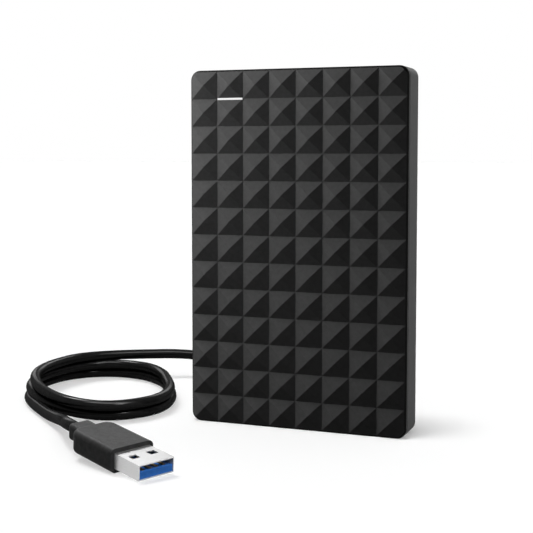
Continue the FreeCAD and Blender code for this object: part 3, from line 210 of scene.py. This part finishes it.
class Surface:
    """A node material with its shader and a few ways to add detail to it."""

    def __init__(self, name, **sockets):
        self.material = bpy.data.materials.new(name)
        self.material.use_nodes = True
        self.tree = self.material.node_tree
        self.shader = self.tree.nodes["Principled BSDF"]
        self.place = self.tree.nodes.new("ShaderNodeTexCoord").outputs["Object"]
        for socket, value in sockets.items():
            self.shader.inputs[socket.replace("_", " ")].default_value = value

    def add(self, kind, **settings):
        made = self.tree.nodes.new(kind)
        for field, value in settings.items():
            setattr(made, field, value)
        return made

    def link(self, output, target):
        self.tree.links.new(output, target)

    def axes(self, centre=(0, 0, 0), turn=0.0, stretch=(1, 1, 1)):
        """Coordinates about a centre, turned round Z, in which a pattern is drawn out along each axis."""
        made = self.add("ShaderNodeMapping", vector_type="TEXTURE")
        made.inputs["Location"].default_value = centre
        made.inputs["Rotation"].default_value = (0, 0, turn)
        made.inputs["Scale"].default_value = stretch
        self.link(self.place, made.inputs["Vector"])
        return made.outputs["Vector"]

    def noise(self, grain, detail=2.0, axes=None):
        """A noise whose features are about as large as the grain, in metres."""
        made = self.add("ShaderNodeTexNoise")
        made.inputs["Scale"].default_value = 1 / grain
        made.inputs["Detail"].default_value = detail
        self.link(axes or self.place, made.inputs["Vector"])
        return made.outputs["Fac"]

    def rings(self, centre, pitch):
        """Uneven rings round an axis along Y through a centre."""
        flat = self.axes(centre, stretch=(1, ENDLESS, 1))
        radius = self.add("ShaderNodeVectorMath", operation="LENGTH")
        self.link(flat, radius.inputs[0])
        made = self.add("ShaderNodeTexNoise", noise_dimensions="1D")
        made.inputs["Scale"].default_value = 1 / pitch
        self.link(radius.outputs["Value"], made.inputs["W"])
        return made.outputs["Fac"]

    def cells(self, pitch):
        """Square cells, as their distance from an edge in shares of the pitch."""
        made = self.add("ShaderNodeTexVoronoi", distance="CHEBYCHEV")
        made.inputs["Scale"].default_value = 1 / pitch
        self.link(self.place, made.inputs["Vector"])
        return made.outputs["Distance"]

    def blend(self, factor, low, high, start=NOISE_LOW, end=NOISE_HIGH):
        """A colour that goes from low to high with a factor."""
        ramp = self.add("ShaderNodeValToRGB")
        for element, position, colour in zip(ramp.color_ramp.elements, (start, end), (low, high)):
            element.position = position
            element.color = (*colour, 1)
        self.link(factor, ramp.inputs["Fac"])
        return ramp.outputs["Color"]

    def span(self, factor, low, high):
        """A number that goes from low to high with a noise."""
        made = self.add("ShaderNodeMapRange")
        made.inputs["From Min"].default_value = NOISE_LOW
        made.inputs["From Max"].default_value = NOISE_HIGH
        made.inputs["To Min"].default_value = low
        made.inputs["To Max"].default_value = high
        self.link(factor, made.inputs["Value"])
        return made.outputs["Result"]

    def colour(self, output):
        self.link(output, self.shader.inputs["Base Color"])

    def roughness(self, output):
        self.link(output, self.shader.inputs["Roughness"])

    def bump(self, height, depth):
        """Raise the surface by a height from 0 to 1, as deep as given in metres."""
        made = self.add("ShaderNodeBump")
        made.inputs["Distance"].default_value = depth
        self.link(height, made.inputs["Height"])
        self.link(made.outputs["Normal"], self.shader.inputs["Normal"])


# How much larger the mottling of a colour is than the grain
MOTTLE = 6


def grey(value):
    return (value, value, value)


def grained(name, low, high, grain, rough, depth, **sockets):
    """A plain moulded, cast or pressed finish: mottled colour and gloss over a fine grain."""
    made = Surface(name, **sockets)
    made.colour(made.blend(made.noise(grain * MOTTLE), low, high))
    fine = made.noise(grain, detail=3.0)
    made.roughness(made.span(fine, *rough))
    made.bump(fine, depth)
    return made


def brushed(name, low, high, rough, turn=0.0):
    """Plated sheet metal with faint lines drawn out along its length."""
    made = Surface(name, Metallic=1.0)
    lines = made.noise(grain=0.00012, detail=3.0, axes=made.axes(turn=turn, stretch=(14, 1, 1)))
    made.colour(made.blend(lines, low, high))
    made.roughness(made.span(lines, *rough))
    made.bump(lines, depth=0.0000012)
    return made


def make_laminate():
    """Green board with lacquered tracks that stand a little proud."""
    made = Surface("laminate", Specular_IOR_Level=0.4)
    tracks = made.cells(pitch=0.0022)
    made.colour(made.blend(tracks, low=(0.020, 0.150, 0.060), high=(0.012, 0.085, 0.035),
                           start=0.30, end=0.36))
    made.roughness(made.span(made.noise(grain=0.0004), low=0.28, high=0.40))
    made.bump(tracks, depth=0.00003)
    return made


def make_disk(centre):
    """Polished disk with hardly visible rings."""
    made = Surface("disk", Metallic=1.0)
    rings = made.rings(centre, pitch=0.00035)
    made.colour(made.blend(rings, low=grey(0.76), high=grey(0.82)))
    made.roughness(made.span(rings, low=0.03, high=0.07))
    made.bump(rings, depth=0.0000004)
    return made


def make_winding(centre):
    """Enamelled copper wire, turn beside turn."""
    made = Surface("copper", Metallic=1.0)
    turns = made.rings(centre, pitch=0.00014)
    made.colour(made.blend(turns, low=(0.52, 0.24, 0.09), high=(0.74, 0.40, 0.18)))
    made.roughness(made.span(turns, low=0.28, high=0.40))
    made.bump(turns, depth=0.00004)
    return made


def make_filter():
    """Pressed white fibre."""
    made = Surface("filter", Specular_IOR_Level=0.2)
    threads = made.noise(grain=0.00010, detail=4.0, axes=made.axes(turn=0.6, stretch=(9, 1, 3)))
    made.colour(made.blend(threads, low=(0.66, 0.66, 0.62), high=(0.82, 0.82, 0.79)))
    made.roughness(made.span(threads, low=0.82, high=0.95))
    made.bump(threads, depth=0.00008)
    return made


joints = {joint["name"]: joint for joint in frame["joints"]}
mounts = {mount["name"]: mount for mount in record["mounts"]}
spindle = joints["spindle_spin"]["pos_m"]
pivot = joints["arm_swing"]["pos_m"]
plug_axis = mounts["host_plug_tip"]["axis"]
plug_turn = math.atan2(plug_axis[1], plug_axis[0])

FINISHES = {
    "casing": grained("casing", low=grey(0.088), high=grey(0.100), grain=0.0002, rough=(0.50, 0.62),
                      depth=0.000010, Specular_IOR_Level=0.02),
    "light": grained("light", low=grey(0.55), high=grey(0.62), grain=0.0004, rough=(0.20, 0.30),
                     depth=0.000002, Emission_Strength=0.55, Emission_Color=(1, 1, 1, 1)),
    "bumper": grained("bumper", low=grey(0.018), high=grey(0.030), grain=0.0003, rough=(0.70, 0.85),
                      depth=0.000020, Specular_IOR_Level=0.3),
    "laminate": make_laminate(),
    "steel": brushed("steel", low=grey(0.58), high=grey(0.68), rough=(0.22, 0.34)),
    "black_plastic": grained("black_plastic", low=grey(0.018), high=grey(0.028), grain=0.0002,
                             rough=(0.45, 0.60), depth=0.000008, Specular_IOR_Level=0.3),
    "ceramic": grained("ceramic", low=(0.50, 0.38, 0.26), high=(0.62, 0.50, 0.36), grain=0.0002,
                       rough=(0.40, 0.55), depth=0.000006),
    "cast_metal": grained("cast_metal", low=(0.46, 0.47, 0.48), high=(0.56, 0.57, 0.58), grain=0.0003,
                          rough=(0.36, 0.52), depth=0.000012, Metallic=1.0),
    "disk": make_disk(spindle),
    "magnet": grained("magnet", low=(0.44, 0.43, 0.41), high=(0.54, 0.53, 0.51), grain=0.0002,
                      rough=(0.24, 0.36), depth=0.000004, Metallic=1.0),
    "copper": make_winding(pivot),
    "filter": make_filter(),
    # The gloss is a thin coat over a dull black
    "cord_jacket": grained("cord_jacket", low=grey(0.002), high=grey(0.004), grain=0.0002,
                           rough=(0.40, 0.50), depth=0.000004, Specular_IOR_Level=0.0, Coat_Weight=0.05,
                           Coat_Roughness=0.22, Coat_IOR=2.0),
    "tongue": grained("tongue", low=(0.020, 0.112, 0.395), high=(0.027, 0.142, 0.470), grain=0.0003,
                      rough=(0.34, 0.44), depth=0.000004, Specular_IOR_Level=0.2),
}
# Near-black for the sloping rim round the front face: painted shade where the shadow gap round the front plate
# falls
casing_rim_painted_shade = grained("casing_rim_painted_shade", low=grey(0.010), high=grey(0.014), grain=0.0003, rough=(0.40, 0.50),
                      depth=0.000004, Specular_IOR_Level=0.03)
grip = grained("plug_grip", low=grey(0.018), high=grey(0.030), grain=0.00028, rough=(0.50, 0.66),
               depth=0.000030, Specular_IOR_Level=0.06)
plug_steel = brushed("plug_steel", low=grey(0.56), high=grey(0.64), rough=(0.46, 0.56), turn=plug_turn)
# Gold contacts, darkened far below bright gold as painted shade of the plug's mouth round them
contacts_painted_shade = grained("contact_gilt_painted_shade", low=(0.22, 0.16, 0.08), high=(0.28, 0.21, 0.11), grain=0.0002,
               rough=(0.30, 0.40), depth=0.000002, Metallic=1.0)


def dress(surface, *names):
    for name in names:
        data = nodes[name].data
        data.materials.clear()
        data.materials.append(surface.material)


for part in record["subparts"]:
    dress(FINISHES[part["material_slot"]], part["node"])
dress(grip, "host_plug_grip", "drive_plug_grip")
dress(plug_steel, "host_plug_shell", "drive_plug_shell")
dress(contacts_painted_shade, "host_plug_contacts")

# The sloping rim round the patterned face gets a near-black finish: painted shade, standing in for the shadow gap
# between the front plate and the tray
RIM_SLOPE = (-0.9, -0.4)
front = nodes["front_cover"].data
front.materials.append(casing_rim_painted_shade.material)
painted_shade_rim_index = len(front.materials) - 1
for face in front.polygons:
    if RIM_SLOPE[0] < face.normal.y < RIM_SLOPE[1]:
        face.material_index = painted_shade_rim_index

cord = make_cord()
cord.data.materials.append(FINISHES["cord_jacket"].material)
make_camera()


# Stage and lights

def through_camera(tree):
    """A factor that is 1 for rays from the camera, mirrors and glass."""
    path = tree.nodes.new("ShaderNodeLightPath")
    total = path.outputs["Is Camera Ray"]
    for name in ("Is Glossy Ray", "Is Transmission Ray"):
        most = tree.nodes.new("ShaderNodeMath")
        most.operation = "MAXIMUM"
        tree.links.new(total, most.inputs[0])
        tree.links.new(path.outputs[name], most.inputs[1])
        total = most.outputs["Value"]
    return total


FLOOR_SIDE = 20
FLOOR_BOUNCE = 0.04
FLOOR_GLOW = 0.05
WORLD_FILL = 0.012
SWEEP_TOP = 0.30
CEILING_FROM = 0.70
CEILING = 0.08
LAMP_AIM = Vector((0, 0, 0.06))


def make_floor():
    bpy.ops.mesh.primitive_plane_add(size=FLOOR_SIDE)
    floor = bpy.context.object
    floor.name = "floor"
    made = bpy.data.materials.new("floor")
    made.use_nodes = True
    tree = made.node_tree
    tree.nodes.clear()
    out = tree.nodes.new("ShaderNodeOutputMaterial")
    diffuse = tree.nodes.new("ShaderNodeBsdfDiffuse")
    seen = through_camera(tree)
    shade = tree.nodes.new("ShaderNodeMapRange")
    shade.inputs["To Min"].default_value = FLOOR_BOUNCE
    shade.inputs["To Max"].default_value = 1.0
    tree.links.new(seen, shade.inputs["Value"])
    tree.links.new(shade.outputs["Result"], diffuse.inputs["Color"])
    glow = tree.nodes.new("ShaderNodeEmission")
    lift = tree.nodes.new("ShaderNodeMath")
    lift.operation = "MULTIPLY"
    lift.inputs[1].default_value = FLOOR_GLOW
    tree.links.new(seen, lift.inputs[0])
    tree.links.new(lift.outputs["Value"], glow.inputs["Strength"])
    both = tree.nodes.new("ShaderNodeAddShader")
    tree.links.new(diffuse.outputs["BSDF"], both.inputs[0])
    tree.links.new(glow.outputs["Emission"], both.inputs[1])
    tree.links.new(both.outputs["Shader"], out.inputs["Surface"])
    floor.data.materials.append(made)
    floor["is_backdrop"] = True
    return floor


def make_world():
    """A white sweep all round the horizon under a dim ceiling, and hardly any light of its own."""
    world = bpy.data.worlds.new("studio")
    bpy.context.scene.world = world
    world.use_nodes = True
    tree = world.node_tree
    background = tree.nodes["Background"]
    background.inputs["Color"].default_value = (1, 1, 1, 1)
    direction = tree.nodes.new("ShaderNodeTexCoord")
    parts = tree.nodes.new("ShaderNodeSeparateXYZ")
    tree.links.new(direction.outputs["Generated"], parts.inputs["Vector"])
    sweep = tree.nodes.new("ShaderNodeMapRange")
    sweep.inputs["From Min"].default_value = SWEEP_TOP
    sweep.inputs["From Max"].default_value = CEILING_FROM
    sweep.inputs["To Min"].default_value = 1.0
    sweep.inputs["To Max"].default_value = CEILING
    tree.links.new(parts.outputs["Z"], sweep.inputs["Value"])
    fill = tree.nodes.new("ShaderNodeMapRange")
    fill.inputs["To Min"].default_value = WORLD_FILL
    tree.links.new(through_camera(tree), fill.inputs["Value"])
    tree.links.new(sweep.outputs["Result"], fill.inputs["To Max"])
    tree.links.new(fill.outputs["Result"], background.inputs["Strength"])


def make_lamp(name, azimuth, elevation, distance, width, power, lit, height=None):
    """A soft lamp, square or a strip, that looks at the drive; azimuth 0 is in front of it."""
    turn = math.radians(azimuth)
    rise = math.radians(elevation)
    back = Vector((math.sin(turn) * math.cos(rise), -math.cos(turn) * math.cos(rise), math.sin(rise)))
    data = bpy.data.lights.new(name, "AREA")
    data.shape = "RECTANGLE"
    data.size = width
    data.size_y = height or width
    data.energy = power
    lamp = bpy.data.objects.new(name, data)
    lamp.location = LAMP_AIM + back * distance
    lamp.rotation_mode = "QUATERNION"
    lamp.rotation_quaternion = (-back).to_track_quat("-Z", "Y")
    lamp.light_linking.receiver_collection = lit
    bpy.context.collection.objects.link(lamp)


def gather(name, items):
    made = bpy.data.collections.new(name)
    for item in items:
        made.objects.link(item)
    return made


def make_sun(name, energy, spread, from_left, from_front, lit, shading=None):
    """A distant lamp overhead, tipped to the left and front; shading limits what casts shadows."""
    data = bpy.data.lights.new(name, "SUN")
    data.energy = energy
    data.angle = math.radians(spread)
    lamp = bpy.data.objects.new(name, data)
    lamp.rotation_euler = (math.radians(from_front), math.radians(-from_left), 0)
    lamp.light_linking.receiver_collection = lit
    lamp.light_linking.blocker_collection = shading
    bpy.context.collection.objects.link(lamp)


floor = make_floor()
make_world()

black_of_lead = [cord, nodes["host_plug_grip"], nodes["drive_plug_grip"]]
of_lead = [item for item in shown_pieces() if item is cord or "_plug_" in item.name]
of_drive = [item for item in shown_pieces() if item not in of_lead]
drive_lit = gather("drive_lit", of_drive)
lead_lit = gather("lead_lit", of_lead)
rim_lit = gather("rim_lit", black_of_lead)
cord_lit = gather("cord_lit", [cord])
floor_lit = gather("floor_lit", [floor])
from_above = gather("lit_from_above", black_of_lead + [floor])
make_lamp("key", azimuth=-77, elevation=40, distance=0.22, width=0.12, power=0.98, lit=drive_lit)
make_lamp("side", azimuth=106, elevation=20, distance=0.5, width=0.2, power=1.0, lit=drive_lit)
make_lamp("rear", azimuth=165, elevation=40, distance=0.6, width=0.4, power=2.0, lit=drive_lit)
make_lamp("lead_key", azimuth=-110, elevation=42, distance=0.4, width=0.10, power=2.0, lit=lead_lit)
make_lamp("lead_front", azimuth=50, elevation=42, distance=0.5, width=0.12, power=2.6, lit=lead_lit)
make_lamp("lead_rim", azimuth=201, elevation=14, distance=0.45, width=0.12, power=0.5, lit=rim_lit)
make_lamp("cord_gloss", azimuth=6, elevation=70, distance=0.24, width=0.36, power=2.8, lit=cord_lit,
          height=0.10)
make_lamp("cord_rim", azimuth=197, elevation=27, distance=0.44, width=0.12, power=0.8, lit=cord_lit)
make_lamp("tail_gloss", azimuth=229, elevation=8, distance=0.49, width=0.12, power=0.5, lit=cord_lit)
make_sun("overhead_lead", energy=1.0, spread=24, from_left=25, from_front=-14, lit=from_above,
         shading=lead_lit)
make_sun("overhead_drive", energy=1.45, spread=14, from_left=5, from_front=7, lit=floor_lit,
         shading=drive_lit)
make_sun("overhead_soft", energy=0.70, spread=100, from_left=0, from_front=0, lit=from_above)

bpy.context.scene.view_settings.view_transform = "Standard"
